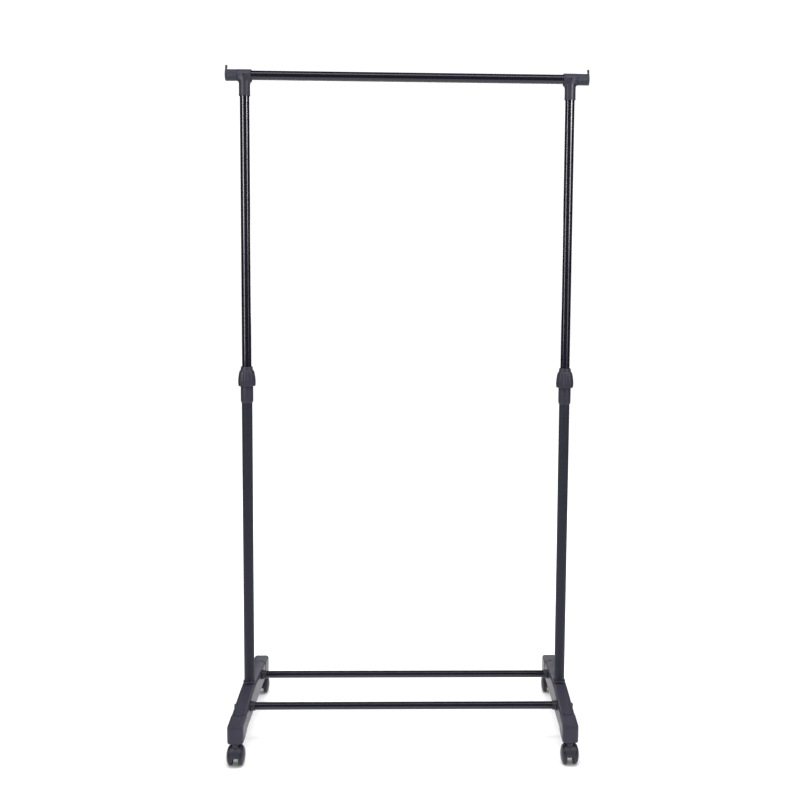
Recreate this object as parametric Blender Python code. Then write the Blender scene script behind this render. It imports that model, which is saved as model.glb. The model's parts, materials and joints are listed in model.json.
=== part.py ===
"""Garment rail on casters: two moulded feet, two telescopic uprights with twist clamps, and a hanging rail.

Units are metres. X is the width, -Y the front and +Z up; the origin is on the floor under the middle of the base.
The hanging rail stands near the top of its travel. Every piece is a separate closed solid.
"""

import math

import bmesh
import bpy
from mathutils import Matrix

# Frame
UPRIGHT_X = 0.3826
TOP_RAIL_Z = 1.578
BASE_RAIL_Y = 0.0956
BASE_RAIL_Z = 0.091

# Steel tubes: outer radii and wall
TOP_TUBE_R = 0.011
LOWER_TUBE_R = 0.0125
BASE_RAIL_R = 0.009
TUBE_WALL = 0.0008
INSERT_LENGTH = 0.012
LOWER_TUBE_BOTTOM_Z = 0.0685
LOWER_TUBE_TOP_Z = 0.8431
UPPER_TUBE_BOTTOM_Z = 0.7833

# Twist clamp
SLEEVE_R = 0.01485
SLEEVE_BOTTOM_Z = 0.8052
SLEEVE_TOP_Z = 0.8448
THREAD_R = 0.0133
THREAD_TOP_Z = 0.8640
NUT_TOP_Z = 0.8928
NUT_GRIP_R = 0.0209
NUT_LOBES = 8
LOBE_DEPTH = 0.35

# Tee connector and end cap of the hanging rail
TEE_R = 0.01375
TEE_HALF_LENGTH = 0.0165
SOCKET_R = 0.01325
SOCKET_DROP = 0.048
CAP_R = 0.01345
CAP_END = 0.0442
CAP_FLOOR = 0.0036
STOP_TOP = 0.0235
STOP_HALF_WIDTH = 0.007

# Foot
FOOT_HALF_WIDTH = 0.018
FOOT_TOP_HALF_WIDTH = 0.0150
FOOT_BOTTOM_HALF_WIDTH = 0.0176
FOOT_TOP_Z = 0.110
FOOT_SEAM_TOP_Z = 0.098
FOOT_BOTTOM_Z = 0.060
FOOT_RIDGE_Z = 0.085
SEAM_Y = 0.1625
CHEVRON = 0.006
FOOT_CAP_FLARE = 0.0010
FOOT_CAP_CREASE_Y = 0.2170
FOOT_CAP_CREASE_Z = 0.095
FOOT_CAP_CORNER = 0.0055
FOOT_CAP_END_Y = 0.2195
FOOT_CAP_BOTTOM_Z = 0.0525

# Caster
SWIVEL_Y = 0.2105
TRAIL = 0.0075
WHEEL_R = 0.022
WHEEL_INNER_X = 0.0073
WHEEL_OUTER_X = 0.0212
HOOD_R = 0.0245
HOOD_HALF_WIDTH = 0.0136
LIP_HALF_WIDTH = 0.0084
LIP_Z = 0.0234
WEB_HALF_WIDTH = 0.0066
WEB_BOTTOM_Z = 0.0120
BOSS_R = 0.0062
BOSS_TOP_Z = 0.0520
AXLE_R = 0.003
AXLE_HALF_LENGTH = 0.0178
STEM_UPPER_R = 0.005
STEM_LOWER_R = 0.0038
STEM_LOWER_END_Z = 0.0325

# Screws
SCREW_R = 0.003
SCREW_HEAD_R = 0.0056
SCREW_HEAD_HEIGHT = 0.003

SIDES = 20
SMALL_SIDES = 12
NUT_SIDES = 32
GAP = 0.0003
SMOOTH_ANGLE = math.radians(35)


def bore(shaft_radius, clearance=GAP, sides=SIDES):
    """Radius of a faceted hole whose flats clear a shaft by the clearance."""
    return (shaft_radius + clearance) / math.cos(math.pi / sides)


def make_material(name, colour, roughness, metallic=0.0):
    material = bpy.data.materials.new(name)
    material.use_nodes = True
    shader = material.node_tree.nodes["Principled BSDF"]
    shader.inputs["Base Color"].default_value = (*colour, 1.0)
    shader.inputs["Roughness"].default_value = roughness
    shader.inputs["Metallic"].default_value = metallic
    return material


def turned(profile, sides=SIDES, half_step=False):
    """Spins a profile of (radius, height) about Z. It is a closed loop, unless it starts and ends on the axis."""
    bm = bmesh.new()
    points = [bm.verts.new((radius, 0, height)) for radius, height in profile]
    on_axis = profile[0][0] == 0
    ends = points[1:] if on_axis else points[1:] + points[:1]
    edges = [bm.edges.new(pair) for pair in zip(points, ends)]
    bmesh.ops.spin(bm, geom=points + edges, axis=(0, 0, 1), cent=(0, 0, 0), angle=2 * math.pi, steps=sides)
    if half_step:
        bmesh.ops.rotate(bm, verts=bm.verts, matrix=Matrix.Rotation(math.pi / sides, 3, "Z"))
    return cleaned(bm)


def cylinder(radius, low, high, sides=SIDES, half_step=False):
    return turned([(0, high), (radius, high), (radius, low), (0, low)], sides, half_step)


def drill(shaft_radius, low, high, sides=SIDES):
    """The cutter of a hole that clears a shaft of this radius."""
    return cylinder(bore(shaft_radius, sides=sides), low, high, sides)


def extruded(outline, half_width):
    """Extrudes an outline of (y, z) points along X, to half_width each way."""
    bm = bmesh.new()
    face = bm.faces.new([bm.verts.new((-half_width, y, z)) for y, z in outline])
    grown = bmesh.ops.extrude_face_region(bm, geom=[face])
    moved = [item for item in grown["geom"] if isinstance(item, bmesh.types.BMVert)]
    bmesh.ops.translate(bm, verts=moved, vec=(2 * half_width, 0, 0))
    return cleaned(bm)


def box(low, high):
    """A box between two corners."""
    bm = bmesh.new()
    bmesh.ops.create_cube(bm, size=1)
    size = [b - a for a, b in zip(low, high)]
    middle = [(a + b) / 2 for a, b in zip(low, high)]
    bmesh.ops.scale(bm, verts=bm.verts, vec=size)
    bmesh.ops.translate(bm, verts=bm.verts, vec=middle)
    return bm


def lofted(sections):
    """Skins closed sections that each start at the top centre and pass the bottom centre half-way round."""
    bm = bmesh.new()
    rings = [[bm.verts.new(point) for point in section] for section in sections]
    count = len(rings[0])
    for near, far in zip(rings, rings[1:]):
        for i in range(count):
            j = (i + 1) % count
            bm.faces.new((near[i], near[j], far[j], far[i]))
    for ring in (rings[0], rings[-1]):
        bm.faces.new(ring[: count // 2 + 1])
        bm.faces.new(ring[count // 2 :] + ring[:1])
    return cleaned(bm)


def cleaned(bm):
    bmesh.ops.remove_doubles(bm, verts=bm.verts, dist=1e-6)
    bmesh.ops.recalc_face_normals(bm, faces=bm.faces)
    return bm


def along_x(bm):
    """Turns a shape made about Z so that its axis runs along +X."""
    bmesh.ops.rotate(bm, verts=bm.verts, matrix=Matrix.Rotation(math.pi / 2, 3, "Y"))
    return bm


def shifted(bm, offset):
    bmesh.ops.translate(bm, verts=bm.verts, vec=offset)
    return bm


def to_mesh(bm):
    mesh = bpy.data.meshes.new("shape")
    bm.to_mesh(mesh)
    bm.free()
    return mesh


def carved(bm, steps):
    """The mesh of a shape after Boolean steps, each an operation with the shape that it uses."""
    scene_objects = bpy.context.scene.collection.objects
    body = bpy.data.objects.new("body", to_mesh(bm))
    scene_objects.link(body)
    helpers = [body]
    for operation, tool in steps:
        helper = bpy.data.objects.new("tool", to_mesh(tool))
        scene_objects.link(helper)
        helpers.append(helper)
        modifier = body.modifiers.new("carve", "BOOLEAN")
        modifier.operation = operation
        modifier.object = helper
    evaluated = body.evaluated_get(bpy.context.evaluated_depsgraph_get())
    mesh = bpy.data.meshes.new_from_object(evaluated)
    for helper in helpers:
        bpy.data.objects.remove(helper)
    return mesh


def empty(name, location, turn=0.0, parent=None):
    obj = bpy.data.objects.new(name, None)
    bpy.context.scene.collection.objects.link(obj)
    obj.location = location
    obj.rotation_euler = (0, 0, turn)
    obj.parent = parent
    return obj


def piece(name, shape, material, parent, location=(0, 0, 0), turn=0.0):
    """A named piece at its place under its parent. The shape is a bmesh or a mesh that copies share."""
    mesh = shape if isinstance(shape, bpy.types.Mesh) else to_mesh(shape)
    if not mesh.materials:
        mesh.materials.append(material)
        mesh.name = name
    mesh.shade_smooth()
    mesh.set_sharp_from_angle(angle=SMOOTH_ANGLE)
    obj = bpy.data.objects.new(name, mesh)
    bpy.context.scene.collection.objects.link(obj)
    obj.parent = parent
    obj.location = location
    obj.rotation_euler = (0, 0, turn)
    return obj


def plain_tube(radius, length):
    inner = radius - TUBE_WALL
    return turned([(inner, 0), (radius, 0), (radius, length), (inner, length)])


def insert_tube(radius, length, both_ends):
    """A tube with a threaded insert welded in its lower end, or in both."""
    inner = radius - TUBE_WALL
    hole = bore(SCREW_R)
    profile = [(hole, 0), (radius, 0), (radius, length)]
    if both_ends:
        profile += [(hole, length), (hole, length - INSERT_LENGTH), (inner, length - INSERT_LENGTH)]
    else:
        profile += [(inner, length)]
    profile += [(inner, INSERT_LENGTH), (hole, INSERT_LENGTH)]
    return turned(profile)


def screw(shank_length):
    """A pan-head screw: the shank runs down from the underside of the head at height 0."""
    return turned(
        [
            (0, SCREW_HEAD_HEIGHT),
            (SCREW_HEAD_R * 0.7, SCREW_HEAD_HEIGHT),
            (SCREW_HEAD_R, SCREW_HEAD_HEIGHT / 2),
            (SCREW_HEAD_R, 0),
            (SCREW_R, 0),
            (SCREW_R, -shank_length),
            (0, -shank_length),
        ],
        sides=SMALL_SIDES,
    )


def foot_section(y, top_z, bottom_z, flare=0.0, chevron=0.0, top_flare=0.0):
    """One closed section of the foot. The chevron moves its middle along Y, and its edges the other way."""
    half = [
        (0.0, top_z + 0.0006),
        (FOOT_TOP_HALF_WIDTH + flare + top_flare, top_z),
        (FOOT_HALF_WIDTH - 0.0008 + flare, top_z - 0.006),
        (FOOT_HALF_WIDTH + flare, min(FOOT_RIDGE_Z, top_z - 0.009)),
        (FOOT_BOTTOM_HALF_WIDTH + flare, bottom_z),
        (0.0, bottom_z),
    ]
    outline = half + [(-x, z) for x, z in half[-2:0:-1]]
    widest = FOOT_HALF_WIDTH + flare
    return [(x, y + chevron * (1 - 2 * abs(x) / widest), z) for x, z in outline]


def foot_beam():
    """The foot's long moulding, hollow below, with sockets for the upright and the base rails."""
    stations = [(SEAM_Y, FOOT_SEAM_TOP_Z, CHEVRON), (0.11, 0.1030, 0), (0.035, FOOT_TOP_Z, 0)]
    stations += [(-y, top_z, -chevron) for y, top_z, chevron in reversed(stations)]
    beam = lofted([foot_section(y, top_z, FOOT_BOTTOM_Z, chevron=c) for y, top_z, c in stations])
    steps = []
    for way in (-1, 1):
        steps.append(("UNION", spigot(way, 0)))
        for low, high in ((0.022, 0.080), (0.110, 0.149)):
            ends = sorted((way * low, way * high))
            pocket = box((-0.0125, ends[0], FOOT_BOTTOM_Z - 0.005), (0.0125, ends[1], 0.0925))
            steps.append(("DIFFERENCE", pocket))
        steps += [("DIFFERENCE", tool) for tool in rail_socket(way * BASE_RAIL_Y)]
    socket = drill(LOWER_TUBE_R, LOWER_TUBE_BOTTOM_Z - GAP, 0.13)
    clearance_hole = drill(SCREW_R, FOOT_BOTTOM_Z - 0.005, 0.08, SMALL_SIDES)
    return carved(beam, steps + [("DIFFERENCE", socket), ("DIFFERENCE", clearance_hole)])


def rail_socket(y):
    """The cutters for one base rail: a socket from the inner side, and a screw hole to the outer side."""
    socket = along_x(drill(BASE_RAIL_R, -0.03, 0.0073))
    hole = along_x(drill(SCREW_R, 0, 0.03, SMALL_SIDES))
    return [shifted(tool, (0, y, BASE_RAIL_Z)) for tool in (socket, hole)]


def spigot(way, margin):
    """The tongue on the beam's end, or its pocket in the cap where a margin is given."""
    ends = sorted((way * (SEAM_Y - 0.010), way * (SEAM_Y + 0.0095 + margin)))
    return box((-0.010 - margin, ends[0], 0.066 - margin), (0.010 + margin, ends[1], 0.088 + margin))


def foot_cap():
    """The foot's front end moulding, which carries a caster. It is made facing -Y."""
    start = SEAM_Y + GAP + 0.0001
    bevel = 0.0035
    crease_y, crease_z = FOOT_CAP_CREASE_Y, FOOT_CAP_CREASE_Z
    end, bottom, flare = FOOT_CAP_END_Y, FOOT_CAP_BOTTOM_Z, FOOT_CAP_FLARE
    sections = [
        foot_section(-start, FOOT_SEAM_TOP_Z, bottom + 0.006, flare, -CHEVRON),
        foot_section(-0.182, 0.0968, bottom, flare),
        foot_section(-(end - FOOT_CAP_CORNER - 0.001), crease_z + 0.0003, bottom, flare, 0, -0.001),
        foot_section(-crease_y, crease_z, bottom + 0.0005, flare - 0.0025, 0, -0.0015),
        foot_section(-end, crease_z - bevel, bottom + 0.002, flare - FOOT_CAP_CORNER, 0, -0.001),
    ]
    stem_hole = drill(STEM_UPPER_R, 0.04, 0.0845, SMALL_SIDES)
    steps = [("DIFFERENCE", spigot(-1, GAP)), ("DIFFERENCE", shifted(stem_hole, (0, -SWIVEL_Y, 0)))]
    return carved(lofted(sections), steps)


def upright_collar():
    inner = bore(LOWER_TUBE_R)
    low = FOOT_TOP_Z + 0.0006 + GAP
    return turned([(inner, low), (0.0152, low), (0.0152, low + 0.0035), (0.0142, low + 0.005), (inner, low + 0.005)])


def rail_ferrule():
    """A flared collar where a base rail enters the foot, wide end at height 0."""
    inner = bore(BASE_RAIL_R)
    return turned([(inner, 0), (0.0122, 0), (0.0122, 0.0025), (0.0105, 0.0098), (inner, 0.0104)])


def clamp_sleeve():
    """The fixed half of the clamp: it caps the lower tube and ends in a threaded neck."""
    over_tube = bore(LOWER_TUBE_R)
    neck = bore(TOP_TUBE_R)
    shoulder = LOWER_TUBE_TOP_Z + GAP
    return turned(
        [
            (over_tube, SLEEVE_BOTTOM_Z),
            (0.0136, SLEEVE_BOTTOM_Z),
            (SLEEVE_R, SLEEVE_BOTTOM_Z + 0.006),
            (SLEEVE_R, SLEEVE_TOP_Z),
            (THREAD_R, SLEEVE_TOP_Z),
            (THREAD_R, THREAD_TOP_Z),
            (neck, THREAD_TOP_Z),
            (neck, shoulder),
            (over_tube, shoulder),
        ]
    )


def clamp_collet():
    """The split ring that the nut's cone squeezes onto the upper tube."""
    inner = bore(TOP_TUBE_R)
    low = THREAD_TOP_Z + GAP
    high = NUT_TOP_Z - 0.0093
    ring = turned([(inner, low), (0.0132, low), (0.0122, high), (inner, high)])
    slit = box((-0.0008, 0, low - 0.01), (0.0008, 0.02, high + 0.01))
    return carved(ring, [("DIFFERENCE", slit)])


def twist_nut():
    """The lobed nut. Its outside is about the upright's axis at world height."""
    thread = bore(THREAD_R, sides=NUT_SIDES)
    mouth = bore(TOP_TUBE_R, 0.0004, NUT_SIDES)
    low = SLEEVE_TOP_Z + 0.0004
    bm = turned(
        [
            (thread, low),
            (SLEEVE_R, low),
            (0.0196, low + 0.0008),
            (0.0206, low + 0.0030),
            (NUT_GRIP_R, low + 0.0080),
            (NUT_GRIP_R, low + 0.0135),
            (0.0202, low + 0.0215),
            (0.0188, low + 0.0305),
            (0.0175, low + 0.0362),
            (0.0148, low + 0.0392),
            (0.0143, NUT_TOP_Z - 0.0050),
            (0.0130, NUT_TOP_Z),
            (mouth, NUT_TOP_Z),
            (mouth, NUT_TOP_Z - 0.0083),
            (0.01275, NUT_TOP_Z - 0.0087),
            (thread, THREAD_TOP_Z),
        ],
        sides=NUT_SIDES,
    )
    root = 0.0150
    for vert in bm.verts:
        radius = math.hypot(vert.co.x, vert.co.y)
        if radius > root:
            angle = math.atan2(vert.co.y, vert.co.x)
            lobe = 1 - LOBE_DEPTH * (1 - math.cos(NUT_LOBES * angle)) / 2
            scale = (root + (radius - root) * lobe) / radius
            vert.co.x *= scale
            vert.co.y *= scale
    return bm


def guide_bush():
    """The plastic plug that centres the foot of the upper tube inside the lower one."""
    low = UPPER_TUBE_BOTTOM_Z - GAP - 0.008
    step = UPPER_TUBE_BOTTOM_Z - GAP
    inside = 0.0098
    return turned(
        [
            (0.007, low),
            (0.01125, low),
            (0.01125, step),
            (inside, step),
            (inside, step + 0.012),
            (0.007, step + 0.012),
        ]
    )


def tee():
    """The connector at the head of an upright, with its origin where the two tube axes cross and +X outboard."""
    sleeve = along_x(cylinder(TEE_R, -TEE_HALF_LENGTH, TEE_HALF_LENGTH))
    socket = cylinder(SOCKET_R, -SOCKET_DROP, 0)
    gusset = extruded([(0, -0.009), (0, -0.0205), (-0.0128, -0.0205), (-0.0160, -0.0128), (-0.0160, -0.009)], 0.003)
    bmesh.ops.rotate(gusset, verts=gusset.verts, matrix=Matrix.Rotation(-math.pi / 2, 3, "Z"))
    rail_bore = along_x(drill(TOP_TUBE_R, -0.03, 0.03))
    tube_bore = drill(TOP_TUBE_R, -0.08, -0.0178)
    steps = [("UNION", socket), ("UNION", gusset), ("DIFFERENCE", rail_bore), ("DIFFERENCE", tube_bore)]
    return carved(sleeve, steps)


def end_cap():
    """The cap on the end of the hanging rail, with its hanger stop. Same origin as the tee."""
    inner = bore(TOP_TUBE_R)
    start = TEE_HALF_LENGTH + GAP
    floor = CAP_END - CAP_FLOOR
    cap = turned(
        [
            (0, floor),
            (inner, floor),
            (inner, start),
            (CAP_R, start),
            (CAP_R, CAP_END - 0.0008),
            (CAP_R - 0.0008, CAP_END),
            (0, CAP_END),
        ]
    )
    arc = [math.pi * i / 8 for i in range(9)]
    crown = STOP_TOP - STOP_HALF_WIDTH
    rounded_top = [(STOP_HALF_WIDTH * math.cos(a), crown + STOP_HALF_WIDTH * math.sin(a)) for a in arc]
    outline = [(-STOP_HALF_WIDTH, 0.004), (STOP_HALF_WIDTH, 0.004)] + rounded_top
    stop = shifted(extruded(outline, 0.0015), (CAP_END - 0.0016, 0, 0))
    return carved(along_x(cap), [("UNION", stop)])


def caster_body():
    """Hood, web and swivel boss in one moulding. The origin is on the swivel axis at floor level, the hood at -Y."""
    start = math.degrees(math.asin((LIP_Z - WHEEL_R) / HOOD_R))
    angles = [math.radians(start + (150 - start) * i / 14) for i in range(15)]
    axis_y = TRAIL
    outline = [(axis_y - HOOD_R * math.cos(a), WHEEL_R + HOOD_R * math.sin(a)) for a in angles]
    outline += [(axis_y + 0.0175, 0.0200), (axis_y + 0.010, WEB_BOTTOM_Z), (axis_y - 0.0015, WEB_BOTTOM_Z)]
    steps = [("UNION", cylinder(BOSS_R, STEM_LOWER_END_Z - 0.0015, BOSS_TOP_Z))]
    for way in (-1, 1):
        # The hood narrows towards its lips.
        cheek = [(LIP_HALF_WIDTH, 0), (0.03, 0), (0.03, 0.037), (HOOD_HALF_WIDTH, 0.037), (LIP_HALF_WIDTH, LIP_Z)]
        cutter = extruded([(way * y, z) for y, z in cheek], 0.05)
        bmesh.ops.rotate(cutter, verts=cutter.verts, matrix=Matrix.Rotation(-math.pi / 2, 3, "Z"))
        bmesh.ops.recalc_face_normals(cutter, faces=cutter.faces)
        steps.append(("DIFFERENCE", cutter))
    for low, high in ((-0.03, -WEB_HALF_WIDTH), (WEB_HALF_WIDTH, 0.03)):
        pocket = along_x(cylinder(WHEEL_R + 0.001, low, high, half_step=True))
        steps.append(("DIFFERENCE", shifted(pocket, (0, axis_y, WHEEL_R))))
    axle_hole = along_x(drill(AXLE_R, -0.03, 0.03, SMALL_SIDES))
    steps.append(("DIFFERENCE", shifted(axle_hole, (0, axis_y, WHEEL_R))))
    steps.append(("DIFFERENCE", drill(STEM_LOWER_R, STEM_LOWER_END_Z - 0.0005, 0.08, SMALL_SIDES)))
    return carved(extruded(outline, HOOD_HALF_WIDTH), steps)


def caster_stem():
    """The fixed pin that the caster swivels on, pushed up into the foot."""
    step = FOOT_CAP_BOTTOM_Z + GAP
    return turned(
        [
            (0, 0.084),
            (0.004, 0.084),
            (STEM_UPPER_R, 0.082),
            (STEM_UPPER_R, step),
            (STEM_LOWER_R, step),
            (STEM_LOWER_R, STEM_LOWER_END_Z),
            (0, STEM_LOWER_END_Z),
        ],
        sides=SMALL_SIDES,
    )


def wheel():
    """One wheel about the X axis, domed on its outer side, at +X. A flat of its tread faces down."""
    rim = WHEEL_R / math.cos(math.pi / SIDES)
    hole = bore(AXLE_R)
    return along_x(
        turned(
            [
                (0, AXLE_HALF_LENGTH + 0.0005),
                (hole, AXLE_HALF_LENGTH + 0.0005),
                (hole, WHEEL_INNER_X),
                (rim - 0.0010, WHEEL_INNER_X),
                (rim, WHEEL_INNER_X + 0.0010),
                (rim, 0.0142),
                (rim - 0.0010, 0.0160),
                (rim - 0.0028, 0.0175),
                (rim - 0.0062, 0.0191),
                (rim - 0.0122, 0.0205),
                (0, WHEEL_OUTER_X),
            ],
            half_step=True,
        )
    )


def build_base(materials):
    moulding, lower_paint, rail_paint = materials["moulding"], materials["satin"], materials["gloss"]
    beam, cap, ferrule = foot_beam(), foot_cap(), to_mesh(along_x(rail_ferrule()))
    shared = {
        "upright_collar": (to_mesh(upright_collar()), materials["trim"]),
        "lower_upright": (to_mesh(lower_upright()), lower_paint),
        "clamp_sleeve": (to_mesh(clamp_sleeve()), moulding),
        "clamp_collet": (clamp_collet(), materials["trim"]),
    }
    rail_screw = to_mesh(along_x(screw(0.024)))
    upright_bolt = to_mesh(upright_bolt_shape())
    base = empty("base", (0, 0, 0))
    for side, sign in (("left", -1), ("right", 1)):
        turn = math.pi if sign < 0 else 0.0
        post = empty(side + "_foot", (sign * UPRIGHT_X, 0, 0), turn, base)
        piece(side + "_foot_beam", beam, moulding, post)
        piece(side + "_upright_bolt", upright_bolt, materials["steel"], post)
        for name, (mesh, material) in shared.items():
            piece(side + "_" + name, mesh, material, post)
        for end, way in (("front", -1), ("rear", 1)):
            # A post on the left is turned round, so its own Y runs the other way.
            own_way = way * sign
            cap_turn = 0.0 if own_way < 0 else math.pi
            piece(f"{side}_{end}_foot_cap", cap, moulding, post, (0, 0, 0), cap_turn)
            y = own_way * BASE_RAIL_Y
            inner_face = (-FOOT_HALF_WIDTH - GAP, y, BASE_RAIL_Z)
            piece(f"{side}_{end}_rail_ferrule", ferrule, materials["trim"], post, inner_face, math.pi)
            outer_face = (FOOT_HALF_WIDTH + GAP, y, BASE_RAIL_Z)
            piece(f"{side}_{end}_rail_screw", rail_screw, materials["steel"], post, outer_face)
    half_rail = UPRIGHT_X + 0.007
    rail = to_mesh(along_x(insert_tube(BASE_RAIL_R, 2 * half_rail, True)))
    for end, way in (("front", -1), ("rear", 1)):
        piece(end + "_base_rail", rail, rail_paint, base, (-half_rail, way * BASE_RAIL_Y, BASE_RAIL_Z))


def lower_upright():
    length = LOWER_TUBE_TOP_Z - LOWER_TUBE_BOTTOM_Z
    return shifted(insert_tube(LOWER_TUBE_R, length, False), (0, 0, LOWER_TUBE_BOTTOM_Z))


def upright_bolt_shape():
    """The bolt that pulls the upright down into the foot, with its head under the foot."""
    bolt = screw(0.020)
    bmesh.ops.rotate(bolt, verts=bolt.verts, matrix=Matrix.Rotation(math.pi, 3, "X"))
    return shifted(bolt, (0, 0, FOOT_BOTTOM_Z - GAP))


def build_upper_frame(materials):
    length = TOP_RAIL_Z - 0.0183 - UPPER_TUBE_BOTTOM_Z
    tube = to_mesh(plain_tube(TOP_TUBE_R, length))
    bush, head, cap = to_mesh(guide_bush()), tee(), end_cap()
    upper = empty("upper_frame", (0, 0, 0))
    for side, sign in (("left", -1), ("right", 1)):
        turn = math.pi if sign < 0 else 0.0
        post = empty(side + "_head", (sign * UPRIGHT_X, 0, 0), turn, upper)
        piece(side + "_upper_upright", tube, materials["gloss"], post, (0, 0, UPPER_TUBE_BOTTOM_Z))
        piece(side + "_guide_bush", bush, materials["trim"], post)
        piece(side + "_tee", head, materials["moulding"], post, (0, 0, TOP_RAIL_Z))
        piece(side + "_end_cap", cap, materials["moulding"], post, (0, 0, TOP_RAIL_Z))
    half_rail = UPRIGHT_X + CAP_END - CAP_FLOOR - 0.0006
    rail = along_x(plain_tube(TOP_TUBE_R, 2 * half_rail))
    piece("top_rail", rail, materials["gloss"], upper, (-half_rail, 0, TOP_RAIL_Z))


def build_nuts(materials):
    nut = to_mesh(twist_nut())
    for side, sign in (("left", -1), ("right", 1)):
        turning = empty(side + "_nut_axis", (sign * UPRIGHT_X, 0, 0))
        piece(side + "_twist_nut", nut, materials["moulding"], turning)


def build_casters(materials):
    body, one_wheel = caster_body(), to_mesh(wheel())
    stem = to_mesh(caster_stem())
    axle = to_mesh(along_x(cylinder(AXLE_R, -AXLE_HALF_LENGTH, AXLE_HALF_LENGTH, SMALL_SIDES)))
    for side, sign in (("left", -1), ("right", 1)):
        for end, way in (("front", -1), ("rear", 1)):
            name = f"{end}_{side}_caster"
            turn = 0.0 if way < 0 else math.pi
            swivel = empty(name + "_swivel", (sign * UPRIGHT_X, way * SWIVEL_Y, 0), turn)
            piece(name + "_stem", stem, materials["steel"], swivel)
            piece(name + "_body", body, materials["caster"], swivel)
            piece(name + "_axle", axle, materials["steel"], swivel, (0, TRAIL, WHEEL_R))
            for place, outward in (("outer", sign), ("inner", -sign)):
                # The wheel mesh faces +X, and a rear caster's frame is turned round.
                own_way = outward * (1 if way < 0 else -1)
                wheel_turn = 0.0 if own_way > 0 else math.pi
                hub = (0, TRAIL, WHEEL_R)
                piece(f"{end}_{side}_{place}_wheel", one_wheel, materials["wheel"], swivel, hub, wheel_turn)


def main():
    for obj in list(bpy.data.objects):
        bpy.data.objects.remove(obj)
    materials = {
        "gloss": make_material("gloss_black_paint", (0.008, 0.008, 0.011), 0.22),
        "satin": make_material("satin_black_paint", (0.019, 0.021, 0.036), 0.42),
        "moulding": make_material("moulded_plastic", (0.050, 0.050, 0.066), 0.5),
        "trim": make_material("dark_trim_plastic", (0.022, 0.022, 0.030), 0.55),
        "caster": make_material("caster_plastic", (0.044, 0.044, 0.058), 0.45),
        "wheel": make_material("wheel_plastic", (0.036, 0.036, 0.046), 0.4),
        "steel": make_material("blackened_steel", (0.05, 0.05, 0.055), 0.35, 1.0),
    }
    build_base(materials)
    build_upper_frame(materials)
    build_nuts(materials)
    build_casters(materials)


main()
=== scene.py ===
"""Looks of the garment rail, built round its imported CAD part.

Units are metres. X is the width, -Y the front and +Z up. Each mould is made once about its own axes, with
+X outboard on the right-hand side, and the left-hand side uses the same mould turned half round.
"""

import json
import math

import bmesh
import bpy
import numpy as np
from mathutils import Matrix, Vector

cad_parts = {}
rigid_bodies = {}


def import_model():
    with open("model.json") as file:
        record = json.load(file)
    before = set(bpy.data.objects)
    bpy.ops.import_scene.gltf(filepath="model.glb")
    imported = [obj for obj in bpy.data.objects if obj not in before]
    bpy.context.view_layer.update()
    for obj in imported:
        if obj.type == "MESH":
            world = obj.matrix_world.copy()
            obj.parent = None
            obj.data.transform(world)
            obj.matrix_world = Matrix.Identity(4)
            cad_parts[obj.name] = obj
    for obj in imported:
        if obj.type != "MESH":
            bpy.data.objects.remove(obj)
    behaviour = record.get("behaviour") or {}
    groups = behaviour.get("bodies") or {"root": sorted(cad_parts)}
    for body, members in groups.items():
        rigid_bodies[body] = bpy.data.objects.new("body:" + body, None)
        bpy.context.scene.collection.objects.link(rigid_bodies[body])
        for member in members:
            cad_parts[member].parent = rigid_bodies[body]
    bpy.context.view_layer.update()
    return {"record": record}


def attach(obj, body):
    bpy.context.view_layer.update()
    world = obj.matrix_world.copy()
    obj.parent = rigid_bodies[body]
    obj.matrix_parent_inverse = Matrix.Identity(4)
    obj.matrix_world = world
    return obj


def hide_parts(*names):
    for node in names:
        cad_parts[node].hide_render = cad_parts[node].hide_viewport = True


# Clearance between pieces that would otherwise touch
GAP = 0.0003

# Frame
UPRIGHT_X = 0.3826
RAIL_Z = 1.578
BASE_RAIL_Y = 0.0956
BASE_RAIL_Z = 0.091

# Tubes
TOP_R = 0.011
LOWER_R = 0.0125
BASE_R = 0.009
WALL = 0.0008
LOWER_TUBE_LOW = 0.0685
LOWER_TUBE_TOP = 0.8431
UPPER_TUBE_LOW = 0.7833

# Bores round the tubes
UPPER_BORE_R = 0.0113
LOWER_BORE_R = 0.0128
BASE_BORE_R = 0.0093

# Screws and the bored inserts in the tube ends that take them
SCREW_R = 0.003
SCREW_HOLE_R = 0.0034
SCREW_HEAD_R = 0.0056
SCREW_HEAD = 0.003
HEX_REACH = 0.0026
RAIL_SCREW_LENGTH = 0.024
UPRIGHT_BOLT_LENGTH = 0.020
INSERT_DEPTH = 0.012

# Clamp
SLEEVE_R = 0.01485
SLEEVE_LOW = 0.8052
SLEEVE_TOP = 0.8448
THREAD_TOP = 0.8640
NECK_R = 0.0133
THREAD_ROOT_R = 0.0126
THREAD_PITCH = 0.0019
THREAD_TURNS = 9
NUT_LOW = 0.8452
NUT_TOP = 0.8928
NUT_GRIP_R = 0.0209
NUT_ROOT_R = 0.0150
NUT_SIDES = 192
LOBES = 8
LOBE_DEPTH = 0.34
COLLET_SLOT_HALF_WIDTH = 0.0008
COLLET_SPLIT_HALF_WIDTH = 0.0006

# Tee and end cap, about the crossing of the two tube axes
TEE_R = 0.01375
TEE_HALF = 0.0165
SOCKET_R = 0.01325
SOCKET_DROP = 0.048
TUBE_STOP = 0.0178
WEB_HALF_THICKNESS = 0.0040
DIAGONAL = 0.7071
CAP_R = 0.01345
CAP_START = 0.0168
CAP_FLOOR = 0.0402
CAP_END = 0.0442
STOP_TOP = 0.0235
STOP_HALF_WIDTH = 0.007
RINGS_START = 0.0190
RINGS_END = 0.0392
RING_PITCH = 0.00253
RING_DEPTH = 0.00030

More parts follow.
